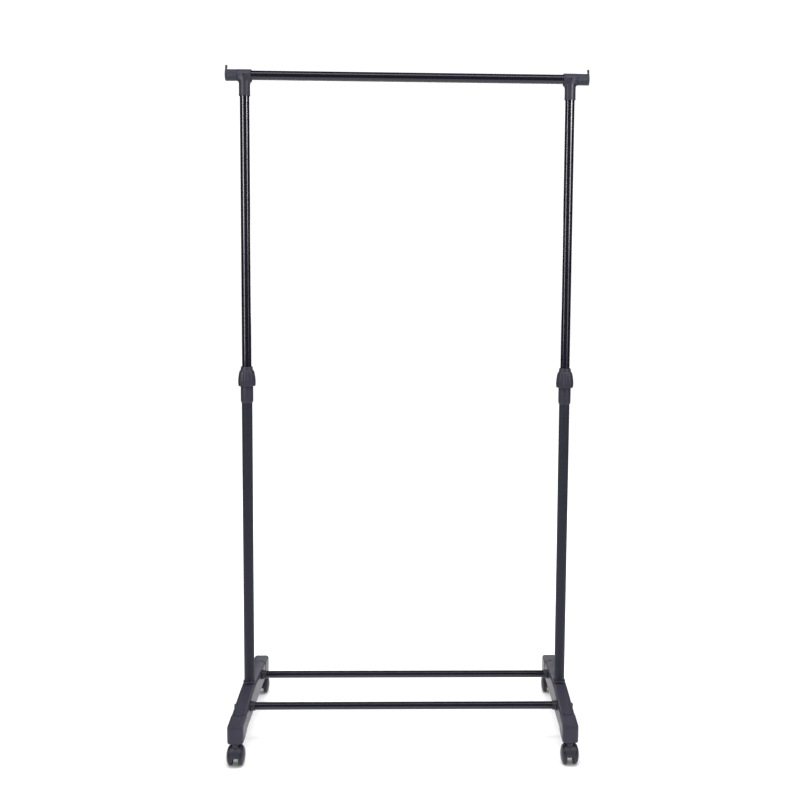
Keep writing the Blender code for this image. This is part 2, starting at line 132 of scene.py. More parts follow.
# Foot
FOOT_HALF_WIDTH = 0.018
FOOT_TOP = 0.110
FOOT_BOTTOM = 0.060
FOOT_RIDGE = 0.085
FOOT_SIDE = 0.0183
FOOT_EDGE = 0.0065
SHOULDER_Y = 0.035
KNEE_Y = 0.110
KNEE_Z = 0.1030
KNEE_TOP_Z = 0.1035
POCKET_SPANS = ((0.022, 0.080), (0.110, 0.149))
POCKET_HALF_WIDTH = 0.0125
POCKET_TOP = 0.0925
SOCKET_FLOOR = 0.0682
RAIL_SOCKET_DEPTH_X = 0.0073
TONGUE_HALF_WIDTH = 0.010
TONGUE_LOW = 0.066
TONGUE_TOP = 0.088
TONGUE_REACH = 0.0095
SEAM_Y = 0.1625
SEAM_TOP = 0.098
SEAM_STEP = 0.0020
SEAM_GAP = 0.0018
CHEVRON = 0.006
CAP_FLARE = 0.0010
CAP_BOTTOM = 0.0525
CREASE_Y = 0.2170
CREASE_Z = 0.0950
NOSE_Y = 0.2195
NOSE_CORNER = 0.0055
NOSE_TOP = 0.0885
NOSE_LEAN = 0.0006
CORNER_SLOPE = (0.646, 0.763)
RIM = 0.0022
RECESS_DEPTH = 0.0035
PAD_R = 0.0085
CAP_BORE_R = 0.0053
CAP_BORE_TOP = 0.0845

# Caster, about its swivel axis at floor level
SWIVEL_Y = 0.2105
TRAIL = 0.0075
WHEEL_R = 0.022
WHEEL_INNER_X = 0.0073
HOOD_R = 0.0244
HOOD_HALF_WIDTH = 0.0136
LIP_HALF_WIDTH = 0.0084
LIP_Z = 0.0234
WEB_HALF_WIDTH = 0.0066
BOSS_R = 0.0062
BOSS_TOP = 0.0520
STEM_R = 0.005
STEM_LOWER_R = 0.0038
STEM_END = 0.0325
STEM_TOP = 0.084
SWIVEL_BORE_R = 0.0041
AXLE_R = 0.003
AXLE_BORE_R = 0.0033
AXLE_HALF = 0.0178
WELL_GAP = 0.0010
KEEL_DROP = 0.0100

# Fineness
SIDES = 72
THIN_SIDES = 48
WHEEL_SIDES = 128
SHARP_ANGLE = math.radians(38)


# ---------------------------------------------------------------- fields

def smax(a, b, k):
    """The larger of two fields, with the edge between them rounded over."""
    blend = np.maximum(k - np.abs(a - b), 0.0) / k
    return np.maximum(a, b) + blend * blend * k / 4


def smin(a, b, k):
    """The smaller of two fields, with a fillet in the corner between them."""
    return -smax(-a, -b, k)


def rod(u, v, radius):
    """A round bar through (0, 0)."""
    return np.hypot(u, v) - radius


def slab(u, low, high):
    """The space between two parallel planes."""
    return np.maximum(low - u, u - high)


def beyond(u, v, start, end):
    """Distance of (u, v) to the left of the line from start to end."""
    du, dv = end[0] - start[0], end[1] - start[1]
    return ((v - start[1]) * du - (u - start[0]) * dv) / math.hypot(du, dv)


def block(x, y, z, low, high, k=0.0008):
    """A box between two corners, with its edges rounded over."""
    plan = smax(slab(x, low[0], high[0]), slab(y, low[1], high[1]), k)
    return smax(plan, slab(z, low[2], high[2]), k)


def gradient(field, points, reach):
    """Slope of a field at some points, by central differences."""
    slope = np.empty_like(points)
    for axis in range(3):
        step = np.zeros(3)
        step[axis] = reach
        slope[:, axis] = (field(*(points + step).T) - field(*(points - step).T)) / (2 * reach)
    return slope


def skin(name, field, low, high, step):
    """Mesh of the surface where a field is zero. Its vertices are drawn onto that surface."""
    low, step = np.array(low, float), np.array(step, float) * np.ones(3)
    # Each grid edge that crosses the surface gives one quad, joining the four cells round it.
    counts = np.ceil((np.array(high) - low) / step).astype(int) + 1
    axes = [low[i] + step[i] * np.arange(counts[i]) for i in range(3)]
    values = field(*np.meshgrid(*axes, indexing="ij"))
    total, hits = np.zeros((*(counts - 1), 3)), np.zeros(counts - 1)
    number = np.arange(hits.size).reshape(hits.shape)
    quads = []
    for axis in range(3):
        near, far = [slice(None)] * 3, [slice(None)] * 3
        near[axis], far[axis] = slice(0, -1), slice(1, None)
        start, end = values[tuple(near)], values[tuple(far)]
        at = np.argwhere((start < 0) != (end < 0))
        u, v = (axis + 1) % 3, (axis + 2) % 3
        a, b = start[tuple(at.T)], end[tuple(at.T)]
        crossing = low + at * step
        crossing[:, axis] += step[axis] * a / (a - b)
        cells = []
        for du, dv in ((-1, -1), (0, -1), (0, 0), (-1, 0)):
            cell = at.copy()
            cell[:, u] += du
            cell[:, v] += dv
            key = tuple(cell.T)
            np.add.at(total, key, crossing)
            np.add.at(hits, key, 1)
            cells.append(number[key])
        quad = np.stack(cells, 1)
        quad[a > 0] = quad[a > 0][:, ::-1]
        quads.append(quad)
    # A cell's vertex starts at the mean of its crossings and is then pulled onto the surface.
    used = hits > 0
    points = total[used] / hits[used][:, None]
    renumber = np.cumsum(used.ravel()) - 1
    reach, furthest, pulls = step.min() * 0.1, 0.6 * step.min(), 3
    for _ in range(pulls):
        slope = gradient(field, points, reach)
        size = np.maximum((slope**2).sum(1), 1e-9)
        move = (field(*points.T) / size)[:, None] * slope
        length = np.linalg.norm(move, axis=1, keepdims=True)
        points -= move * np.minimum(1, furthest / np.maximum(length, 1e-12))
    mesh = bpy.data.meshes.new(name)
    mesh.from_pydata(points, [], renumber[np.concatenate(quads)])
    mesh.shade_smooth()
    slope = gradient(field, points, reach)
    mesh.normals_split_custom_set_from_vertices(slope / np.linalg.norm(slope, axis=1, keepdims=True))
    return mesh


# ---------------------------------------------------------------- turned shapes

def rounded(profile, closed=False, steps=4):
    """A profile of (radius, height, corner radius) as points, each corner rounded over."""
    count, line = len(profile), []
    longest_cut = 0.48
    for i, (a, b, radius) in enumerate(profile):
        here = np.array((a, b))
        if radius == 0 or (not closed and i in (0, count - 1)):
            line.append(here)
            continue
        back = np.array(profile[i - 1][:2]) - here
        ahead = np.array(profile[(i + 1) % count][:2]) - here
        back_length, ahead_length = np.linalg.norm(back), np.linalg.norm(ahead)
        back, ahead = back / back_length, ahead / ahead_length
        half = math.acos(max(-1.0, min(1.0, float(back @ ahead)))) / 2
        cut = min(radius / math.tan(half), longest_cut * back_length, longest_cut * ahead_length)
        for t in np.linspace(0, 1, steps + 1):
            line.append(here + back * cut * (1 - t) ** 2 + ahead * cut * t**2)
    return np.array(line)


def turned(name, profile, sides=SIDES, along_x=False, warp=None, steps=4):
    """Spins a profile about Z. It is a closed loop, unless it starts and ends on the axis."""
    closed = profile[0][0] > 0
    line = rounded(profile, closed, steps)
    angle = np.arange(sides) * 2 * math.pi / sides
    out, up = line[:, :1], line[:, 1:]
    points = np.stack([out * np.cos(angle), out * np.sin(angle), up + 0 * angle], -1)
    if warp is not None:
        points = warp(points)
    rows = len(line)
    at = np.arange(rows * sides).reshape(rows, sides)
    near, far = (at, np.roll(at, -1, 0)) if closed else (at[:-1], at[1:])
    quads = np.stack([near, np.roll(near, -1, 1), np.roll(far, -1, 1), far], -1).reshape(-1, 4)
    points = points.reshape(-1, 3)
    if along_x:
        points = np.stack([points[:, 2], points[:, 1], -points[:, 0]], -1)
    mesh = bpy.data.meshes.new(name)
    mesh.from_pydata(points, [], quads)
    bm = bmesh.new()
    bm.from_mesh(mesh)
    bmesh.ops.remove_doubles(bm, verts=bm.verts, dist=1e-7)
    bmesh.ops.recalc_face_normals(bm, faces=bm.faces)
    bm.to_mesh(mesh)
    bm.free()
    mesh.shade_smooth()
    mesh.set_sharp_from_angle(angle=SHARP_ANGLE)
    return mesh


def barrel(radius, low, high):
    """Points up the outside of a tube, with rings near its ends that keep the edge wear there."""
    inset = (0.0015, 0.004, 0.02)
    heights = [low + step for step in inset] + [high - step for step in reversed(inset)]
    return [(radius, height, 0) for height in heights]


def tube(name, radius, low, high, along_x=False):
    """An open tube."""
    inner, edge = radius - WALL, 0.00035
    profile = [
        (inner, low, edge), (radius, low, edge), *barrel(radius, low, high),
        (radius, high, edge), (inner, high, edge),
    ]
    return turned(name, profile, along_x=along_x)


def insert_tube(name, radius, low, high, both, along_x=False):
    """A tube with a bored insert in its lower end, or in both."""
    inner, hole, depth = radius - WALL, SCREW_HOLE_R, INSERT_DEPTH
    profile = [
        (hole, low, 0.0004), (radius, low, 0.0005), *barrel(radius, low, high),
        (radius, high, 0.0005 if both else 0.0003),
    ]
    if both:
        profile += [(hole, high, 0.0004), (hole, high - depth, 0.0004), (inner, high - depth, 0.0)]
    else:
        profile += [(inner, high, 0.0003)]
    profile += [(inner, low + depth, 0.0), (hole, low + depth, 0.0004)]
    return turned(name, profile, along_x=along_x)


def lower_upright(name):
    return insert_tube(name, LOWER_R, LOWER_TUBE_LOW, LOWER_TUBE_TOP, both=False)


def upper_upright(name):
    return tube(name, TOP_R, UPPER_TUBE_LOW, RAIL_Z - TUBE_STOP - 0.0005)


def top_rail(name):
    half = UPRIGHT_X + CAP_FLOOR - 0.0002
    return tube(name, TOP_R, -half, half, along_x=True)


def base_rail(name):
    half = UPRIGHT_X + RAIL_SOCKET_DEPTH_X - GAP
    return insert_tube(name, BASE_R, -half, half, both=True, along_x=True)


def screw(name, shank):
    """A pan head on a shank that runs down from height 0, with a hexagonal socket."""
    head, head_r, shank_r = SCREW_HEAD, SCREW_HEAD_R, SCREW_R

    def socket(points):
        radius = np.hypot(points[..., 0], points[..., 1])
        angle = np.arctan2(points[..., 1], points[..., 0])
        corner = math.pi / 3
        hexagon = math.cos(corner / 2) / np.cos((angle % corner) - corner / 2)
        inside = (radius < HEX_REACH) & (points[..., 2] > 0)
        scale = np.where(inside, hexagon, 1.0)
        return points * np.stack([scale, scale, np.ones_like(scale)], -1)

    profile = [
        (0, head - 0.0019, 0),
        (0.0024, head - 0.0017, 0.0001),
        (0.0025, head - 0.0002, 0.0001),
        (0.0032, head, 0.0003),
        (head_r * 0.80, head - 0.0003, 0.0012),
        (head_r, head * 0.45, 0.0008),
        (head_r, 0, 0.0002),
        (shank_r, 0, 0.0002),
        (shank_r, -shank + 0.0006, 0.0003),
        (shank_r - 0.0006, -shank, 0.0002),
        (0, -shank, 0),
    ]
    return turned(name, profile, THIN_SIDES, warp=socket)


def upright_bolt(name):
    """The bolt under the foot: the same kind of screw, head down."""
    mesh = screw(name, UPRIGHT_BOLT_LENGTH)
    mesh.transform(Matrix.Rotation(math.pi, 4, "X"))
    mesh.transform(Matrix.Translation((0, 0, FOOT_BOTTOM - GAP)))
    return mesh


def rail_screw(name):
    """The screw through the foot into a base rail, its head at +X."""
    mesh = screw(name, RAIL_SCREW_LENGTH)
    mesh.transform(Matrix.Rotation(math.pi / 2, 4, "Y"))
    return mesh


def collar(name):
    """The ring on top of the foot, round the foot of the upright."""
    low = FOOT_TOP + 0.0009
    return turned(name, [
        (LOWER_BORE_R, low, 0.0002), (0.0152, low, 0.0004), (0.0152, low + 0.0032, 0.0006),
        (0.0140, low + 0.005, 0.0006), (LOWER_BORE_R, low + 0.005, 0.0003),
    ])


def ferrule(name):
    """The flared collar at the end of a base rail, wide end at 0 and running along +X."""
    return turned(name, [
        (BASE_BORE_R, 0, 0.0002), (0.0122, 0, 0.0004), (0.0122, 0.0022, 0.0008), (0.0113, 0.0034, 0.0008),
        (0.0105, 0.0090, 0.0006), (0.0102, 0.0104, 0.0004), (BASE_BORE_R, 0.0104, 0.0002),
    ], along_x=True)


def sleeve(name):
    """The clamp's fixed half, with its neck threaded inside the nut."""
    thread = [(NECK_R, SLEEVE_TOP, 0.0003)]
    for turn_number in range(THREAD_TURNS):
        height = SLEEVE_TOP + 0.0014 + THREAD_PITCH * turn_number
        thread += [
            (NECK_R, height, 0.0002), (THREAD_ROOT_R, height + 0.0005, 0.0002),
            (THREAD_ROOT_R, height + 0.0009, 0.0002), (NECK_R, height + 0.0014, 0.0002),
        ]
    neck_bore, step = 0.0114, LOWER_TUBE_TOP + GAP
    return turned(name, [
        (LOWER_BORE_R, SLEEVE_LOW, 0.0003), (0.0134, SLEEVE_LOW, 0.0003),
        (0.01475, SLEEVE_LOW + 0.0046, 0.002), (SLEEVE_R, SLEEVE_LOW + 0.0075, 0.002),
        (SLEEVE_R, SLEEVE_TOP, 0.0005), *thread, (NECK_R, THREAD_TOP, 0.0004),
        (neck_bore, THREAD_TOP, 0.0003), (neck_bore, step, 0.0002), (LOWER_BORE_R, step, 0.0002),
    ], steps=3)


def bush(name):
    """The guide on the foot of the upper tube: a flange below it and a spigot inside it."""
    low, step = UPPER_TUBE_LOW - 0.0083, UPPER_TUBE_LOW - GAP
    bore, flange, spigot = 0.007, 0.01125, 0.0098
    return turned(name, [
        (bore, low, 0.0004), (flange, low, 0.0008), (flange, step, 0.0003), (spigot, step, 0.0),
        (spigot, step + 0.012, 0.0006), (bore, step + 0.012, 0.0004),
    ])


def nut(name):
    """The twist nut. Its finger lobes fade out towards the neck and the lower edge."""

    def lobed(points):
        radius = np.hypot(points[..., 0], points[..., 1])
        angle = np.arctan2(points[..., 1], points[..., 0])
        # A flattened cosine: broad lobes with narrower valleys between them.
        wave = (1 - np.cos(LOBES * angle)) / 2
        lobe = 1 - LOBE_DEPTH * wave**1.5
        pressed = NUT_ROOT_R + (radius - NUT_ROOT_R) * lobe
        scale = np.where(radius > NUT_ROOT_R, pressed / np.maximum(radius, 1e-6), 1.0)
        return points * np.stack([scale, scale, np.ones_like(scale)], -1)

    low = NUT_LOW
    return turned(name, [
        (0.0137, low, 0.0003), (SLEEVE_R, low, 0.0004), (0.0197, low + 0.0006, 0.0008),
        (0.0206, low + 0.0032, 0.0020), (NUT_GRIP_R, low + 0.0080, 0.004), (NUT_GRIP_R, low + 0.0135, 0.008),
        (0.0202, low + 0.0215, 0.012), (0.0188, low + 0.0305, 0.008), (0.0175, low + 0.0360, 0.0022),
        (0.0148, low + 0.0392, 0.0014), (0.0143, NUT_TOP - 0.0050, 0.001), (0.0138, NUT_TOP - 0.0012, 0.001),
        (0.0130, NUT_TOP, 0.0005), (0.0115, NUT_TOP, 0.0004), (0.0115, NUT_TOP - 0.0083, 0),
        (0.01275, NUT_TOP - 0.0087, 0), (0.0137, THREAD_TOP, 0),
    ], sides=NUT_SIDES, warp=lobed, steps=6)


def wheel(name):
    """One wheel about the X axis, its domed face at +X: tread, bead line, dished ring and hub cap."""
    rim, inner, bore_end = WHEEL_R, WHEEL_INNER_X, 0.0183
    return turned(name, [
        (0, bore_end, 0), (AXLE_BORE_R, bore_end, 0.0002), (AXLE_BORE_R, inner, 0.0003),
        (0.0060, inner, 0.0004), (0.0064, 0.0092, 0.0006), (0.0168, 0.0092, 0.0010), (0.0182, inner, 0.0004),
        (rim - 0.0010, inner, 0.0005), (rim, 0.0083, 0.0010), (rim, 0.0140, 0.0020),
        (rim - 0.0011, 0.0159, 0.0014), (rim - 0.0030, 0.0175, 0.0016), (rim - 0.0062, 0.0189, 0.0010),
        (rim - 0.0068, 0.01855, 0.0003), (rim - 0.0076, 0.0189, 0.0003), (rim - 0.0082, 0.0196, 0.0005),
        (0.0098, 0.0203, 0.003), (0.0066, 0.0206, 0.0004), (0.0062, 0.0201, 0.0003),
        (0.0054, 0.0201, 0.0003), (0.0050, 0.0208, 0.0005), (0, 0.0211, 0),
    ], sides=WHEEL_SIDES, along_x=True)


def stem(name):
    """The caster's pin: wide and grooved in the foot, narrower in the swivel boss."""
    step, groove = CAP_BOTTOM + GAP, 0.0044
    return turned(name, [
        (0, STEM_TOP, 0), (0.0042, STEM_TOP, 0.0006), (STEM_R, 0.0822, 0.0006), (STEM_R, 0.0775, 0.0002),
        (groove, 0.0770, 0.0002), (groove, 0.0758, 0.0002), (STEM_R, 0.0753, 0.0002), (STEM_R, step, 0.0003),
        (STEM_LOWER_R, step, 0.0002), (STEM_LOWER_R, STEM_END, 0.0005), (0, STEM_END, 0),
    ], sides=THIN_SIDES)


def axle(name):
    end, edge = AXLE_HALF, 0.0006
    profile = [(0, -end, 0), (AXLE_R, -end, edge), (AXLE_R, end, edge), (0, end, 0)]
    return turned(name, profile, THIN_SIDES, along_x=True)


# ---------------------------------------------------------------- mouldings

def collet(name):
    """The split ring that the nut closes on the upper tube."""
    low, high = THREAD_TOP + GAP, NUT_TOP - 0.0093

    def field(x, y, z):
        radius = np.hypot(x, y)
        outer = radius - (0.0132 - 0.0010 * (z - low) / (high - low))
        ring = smax(smax(outer, 0.0114 - radius, 0.0004), slab(z, low, high), 0.0005)
        slot = smax(np.abs(x) - COLLET_SLOT_HALF_WIDTH, -y, 0.0003)
        # Shallow splits round the ring let its fingers close.
        turn = (np.arctan2(y, x) + math.pi / 2) % (math.pi / 3)
        split = np.abs(turn - math.pi / 6) * radius - COLLET_SPLIT_HALF_WIDTH
        finger = smax(split, low + 0.006 - z, 0.0003)
        return smax(smax(ring, -slot, 0.0003), -finger, 0.0003)

    return skin(name, field, (-0.014, -0.014, low - 0.001), (0.014, 0.014, high + 0.001), 0.00045)


def foot_width(z):
    """Half-width of the foot at a height: widest at the ridge, drawing in above and below it."""
    below, above = 0.0004 * (FOOT_RIDGE - z) / 0.025, 0.0008 * (z - FOOT_RIDGE) / 0.017
    return FOOT_HALF_WIDTH - smax(below, above, 0.0012)


def foot_back(along, z):
    """Field of the foot's upper side: level in the middle, then falling in two slopes."""
    level = z - FOOT_TOP
    near = beyond(along, z, (SHOULDER_Y, FOOT_TOP), (KNEE_Y, KNEE_Z))
    far = beyond(along, z, (KNEE_Y, KNEE_TOP_Z), (SEAM_Y, SEAM_TOP + SEAM_STEP))
    return smax(smax(level, near, 0.0015), far, 0.003)


def tongue(x, y, z, margin=0.0):
    """The tongue at each end of the beam, which the foot's end moulding fits over with a margin."""
    side = TONGUE_HALF_WIDTH + margin
    low = (-side, SEAM_Y - 0.010, TONGUE_LOW - margin)
    high = (side, SEAM_Y + TONGUE_REACH + margin, TONGUE_TOP + margin)
    return block(x, np.abs(y), z, low, high, 0.0012)


def foot_beam(name):
    """The foot's long moulding, with a sharp seam line at each end and hollows underneath."""

    def field(x, y, z):
        along = np.abs(y)
        side = np.abs(x) - foot_width(z)
        top = foot_back(along, z) - 0.0006 * (1 - (x / 0.014) ** 2)
        end = along - SEAM_Y + 0.0004 - CHEVRON * (1 - 2 * np.abs(x) / FOOT_HALF_WIDTH)
        shell = smax(smax(side, top, FOOT_EDGE), FOOT_BOTTOM - z, 0.0015)
        shell = smax(shell, end * 0.8, 0.0011)
        shell = np.minimum(shell, tongue(x, y, z))
        for start, stop in POCKET_SPANS:
            low, high = (-POCKET_HALF_WIDTH, start, 0.05), (POCKET_HALF_WIDTH, stop, POCKET_TOP)
            shell = smax(shell, -block(x, along, z, low, high, 0.003), 0.0012)
        # The upright's socket with its bolt hole, then each base rail's socket with its screw hole.
        socket = np.maximum(rod(x, y, LOWER_BORE_R), SOCKET_FLOOR - z)
        shell = smax(shell, -socket, 0.0008)
        shell = smax(shell, -np.maximum(rod(x, y, SCREW_HOLE_R), z - 0.08), 0.0005)
        v, w = along - BASE_RAIL_Y, z - BASE_RAIL_Z
        rail = np.maximum(rod(v, w, BASE_BORE_R), x - RAIL_SOCKET_DEPTH_X)
        shell = smax(shell, -rail, 0.0008)
        return smax(shell, -np.maximum(rod(v, w, SCREW_HOLE_R), -x), 0.0005)

    low, high = (-0.0195, -0.1745, 0.0585), (0.0195, 0.1745, 0.1120)
    return skin(name, field, low, high, (0.0009, 0.0010, 0.0009))


def foot_cap(name):
    """The foot's end moulding, facing -Y: chevron seam, nearly level back, crease, and a tall end face."""

    def field(x, y, z):
        along = -y
        side = np.abs(x) - foot_width(z) - CAP_FLARE
        back = beyond(along, z, (SEAM_Y, SEAM_TOP), (CREASE_Y, CREASE_Z))
        front = beyond(along, z, (CREASE_Y, CREASE_Z), (NOSE_Y, NOSE_TOP))
        face = beyond(along, z, (NOSE_Y, NOSE_TOP), (NOSE_Y - NOSE_LEAN, CAP_BOTTOM))
        corner = CORNER_SLOPE[0] * (along - NOSE_Y) + CORNER_SLOPE[1] * (side + NOSE_CORNER)
        seam = SEAM_Y + SEAM_GAP - CHEVRON * (2 * np.abs(x) / FOOT_HALF_WIDTH - 1) - along
        shell = smax(side, back, FOOT_EDGE)
        shell = smax(shell, smax(smax(front, face, 0.0040), corner, 0.0040), 0.0028)
        bottom = CAP_BOTTOM + 0.005 * np.clip((0.180 - along) / 0.017, 0, 1) - z
        shell = smax(shell, bottom, 0.0040)
        shell = smax(shell, seam * 0.8, 0.0011)
        shell = smax(shell, -tongue(x, y, z, 0.0004), 0.0005)
        # A shallow recess underneath leaves a rim and a pad round the stem's hole.
        swivel = np.hypot(x, along - SWIVEL_Y)
        recess = smax(smax(shell + RIM, PAD_R - swivel, 0.0012), z - CAP_BOTTOM - RECESS_DEPTH, 0.0008)
        shell = smax(shell, -recess, 0.0008)
        return smax(shell, -np.maximum(swivel - CAP_BORE_R, z - CAP_BORE_TOP), 0.0005)

    return skin(name, field, (-0.0205, -0.2210, 0.0512), (0.0205, -0.1550, 0.1004), 0.00072)


def tee(name):
    """The connector: a sleeve on the rail, a socket on the upright and a fillet web on the inner side."""

    def field(x, y, z):
        around, upright = np.hypot(y, z), np.hypot(x, y)
        sleeve_shape = smax(around - TEE_R, np.abs(x) - TEE_HALF, 0.0012)
        lip = 0.0003 * (1 - np.clip((z + SOCKET_DROP) / 0.0020 - 1.5, 0, 1))
        socket = smax(smax(upright - SOCKET_R + 0.0003 - lip, -z - SOCKET_DROP, 0.0010), z, 0.001)
        shape = smin(sleeve_shape, socket, 0.0055)
        # The web closes the inner corner with a slanting edge.
        slant = (-x - 0.0158 - (z + 0.0150)) * DIAGONAL
        web = smax(smax(np.abs(y) - WEB_HALF_THICKNESS, slant, 0.001), smax(-x - 0.0160, x, 0.001), 0.001)
        web = smax(web, np.maximum(-z - 0.0208, z + 0.004), 0.001)
        shape = smin(shape, web, 0.0040)
        rail_bore = around - UPPER_BORE_R
        tube_bore = np.maximum(upright - UPPER_BORE_R, z + TUBE_STOP)
        return smax(smax(shape, -rail_bore, 0.0007), -tube_bore, 0.0007)

    return skin(name, field, (-0.0175, -0.0147, -0.0535), (0.0175, 0.0147, 0.0150), 0.00062)


def end_cap(name):
    """The cap beyond the tee: fine rings, a plain end flange and the upturned hanger stop."""

    def field(x, y, z):
        around = np.hypot(y, z)
        ringed = np.clip((x - RINGS_START) / 0.001, 0, 1) * np.clip((RINGS_END - x) / 0.001, 0, 1)
        wave = 0.5 - 0.5 * np.cos(2 * math.pi * (x - RINGS_START) / RING_PITCH)
        groove = RING_DEPTH * ringed * wave**2
        cup = smax(around - CAP_R + groove, CAP_START - x, 0.0008)
        cup = smax(cup, x - CAP_END, 0.0016)
        hollow = np.maximum(around - UPPER_BORE_R, x - CAP_FLOOR)
        cup = smax(cup, -hollow, 0.0006)
        # The stop is a plate with a thicker rounded tip.
        tip = np.clip((z - 0.0165) / 0.003, 0, 1)
        middle, half = 0.0424 - 0.0006 * tip, 0.0015 + 0.0008 * tip
        crown = STOP_TOP - STOP_HALF_WIDTH
        outline = np.where(z > crown, np.hypot(y, z - crown), np.abs(y)) - STOP_HALF_WIDTH
        plate = smax(smax(np.abs(x - middle) - half, outline, 0.0022), 0.004 - z, 0.001)
        return smax(smin(cup, plate, 0.0022), x - CAP_END, 0.0010)

    return skin(name, field, (0.0158, -0.0145, -0.0145), (0.0452, 0.0145, 0.0245), 0.00052)


def caster_body(name):
    """Hood, web and swivel boss in one moulding, the hood's lip at -Y."""

    def field(x, y, z):
        v, w = y - TRAIL, z - WHEEL_R
        around = np.hypot(v, w)
        across = np.abs(x)
        # The hood narrows towards its lips.
        spread = np.clip((z - LIP_Z) / (0.037 - LIP_Z), 0, 1)
        half = LIP_HALF_WIDTH + (HOOD_HALF_WIDTH - LIP_HALF_WIDTH) * spread
        drum = smax(around - HOOD_R, (across - half) * 0.93, 0.0020)
        wells = smax(around - WHEEL_R - WELL_GAP, WEB_HALF_WIDTH - across, 0.0010)
        # The lower edge falls from the lip, level with the axle, to the keel and climbs again behind it.
        keel, bend = -KEEL_DROP, (0.0175, -0.0020)
        fall = beyond(v, w, (-0.0015, keel), (-HOOD_R, LIP_Z - WHEEL_R))
        climb = smax(beyond(v, w, bend, (0.010, keel)), beyond(v, w, (0.0212, 0.0122), bend), 0.003)
        hood = smax(drum, smax(smax(fall, keel - w, 0.002), climb, 0.002), 0.0012)
        hood = smax(hood, -wells, 0.0008)
        boss = smax(np.hypot(x, y) - BOSS_R, np.maximum(z - 0.064, STEM_END - 0.0015 - z), 0.001)
        shape = smin(hood, boss, 0.0040)
        shape = smax(shape, z - BOSS_TOP, 0.0008)
        shape = smax(shape, -wells, 0.0006)
        shape = smax(shape, -rod(v, w, AXLE_BORE_R), 0.0005)
        return smax(shape, -np.maximum(rod(x, y, SWIVEL_BORE_R), STEM_END - 0.0005 - z), 0.0005)

    return skin(name, field, (-0.0150, -0.0180, 0.0105), (0.0150, 0.0330, 0.0535), 0.00055)


# ---------------------------------------------------------------- finishes

def add(tree, kind, inputs=(), **settings):
    """A shader node. Inputs given as sockets are linked, and the rest are set."""
    node = tree.nodes.new(kind)
    for key, value in settings.items():
        setattr(node, key, value)
    for key, value in dict(inputs).items():
        if isinstance(value, bpy.types.NodeSocket):
            tree.links.new(value, node.inputs[key])
        else:
            node.inputs[key].default_value = value
    return node


def mixed(tree, share, first, second):
    """A colour that goes from the first to the second as the share rises."""
    colour_a, colour_b, colour_result = 6, 7, 2
    node = add(tree, "ShaderNodeMix", {
        "Factor": share, colour_a: first, colour_b: second}, data_type="RGBA")
    return node.outputs[colour_result]


def finish(name, colour, edge_colour, roughness, spread, grain, depth, patch, mottle=0.10, metallic=0.0,
           specular=0.5):
    """A surface: grain as bump, cloudy roughness, faintly mottled colour, and edges rubbed paler."""
    material = bpy.data.materials.new(name)
    material.use_nodes = True
    tree = material.node_tree
    shader = tree.nodes["Principled BSDF"]
    where = add(tree, "ShaderNodeTexCoord").outputs["Object"]
    fine = add(tree, "ShaderNodeTexNoise", {
        "Vector": where, "Scale": grain, "Detail": 3.0, "Roughness": 0.6})
    cloud = add(tree, "ShaderNodeTexNoise", {
        "Vector": where, "Scale": patch, "Detail": 5.0, "Roughness": 0.62})
    specks = add(tree, "ShaderNodeTexNoise", {"Vector": where, "Scale": patch * 9, "Detail": 4.0})
    bump = add(tree, "ShaderNodeBump", {"Height": fine.outputs["Fac"], "Strength": 1.0, "Distance": depth})
    soft = add(tree, "ShaderNodeMapRange", {
        "Value": cloud.outputs["Fac"], "From Min": 0.3, "From Max": 0.7,
        "To Min": roughness - spread, "To Max": roughness + spread})
    pale = tuple(c * (1 + mottle) + mottle * 0.002 for c in colour)
    deep = tuple(c * (1 - mottle) for c in colour)
    tone = mixed(tree, cloud.outputs["Fac"], (*deep, 1), (*pale, 1))
    ridge = add(tree, "ShaderNodeMapRange", {
        "Value": add(tree, "ShaderNodeNewGeometry").outputs["Pointiness"],
        "From Min": 0.53, "From Max": 0.64, "To Min": 0.0, "To Max": 1.0})
    rubbed = add(tree, "ShaderNodeMapRange", {
        "Value": specks.outputs["Fac"], "From Min": 0.42, "From Max": 0.62, "To Min": 0.0, "To Max": 0.7})
    wear = add(tree, "ShaderNodeMath", {0: ridge.outputs[0], 1: rubbed.outputs[0]}, operation="MULTIPLY")
    worn = mixed(tree, wear.outputs[0], tone, (*edge_colour, 1))
    tree.links.new(worn, shader.inputs["Base Color"])
    tree.links.new(soft.outputs[0], shader.inputs["Roughness"])
    tree.links.new(bump.outputs[0], shader.inputs["Normal"])
    shader.inputs["Metallic"].default_value = metallic
    shader.inputs["Specular IOR Level"].default_value = specular
    return material


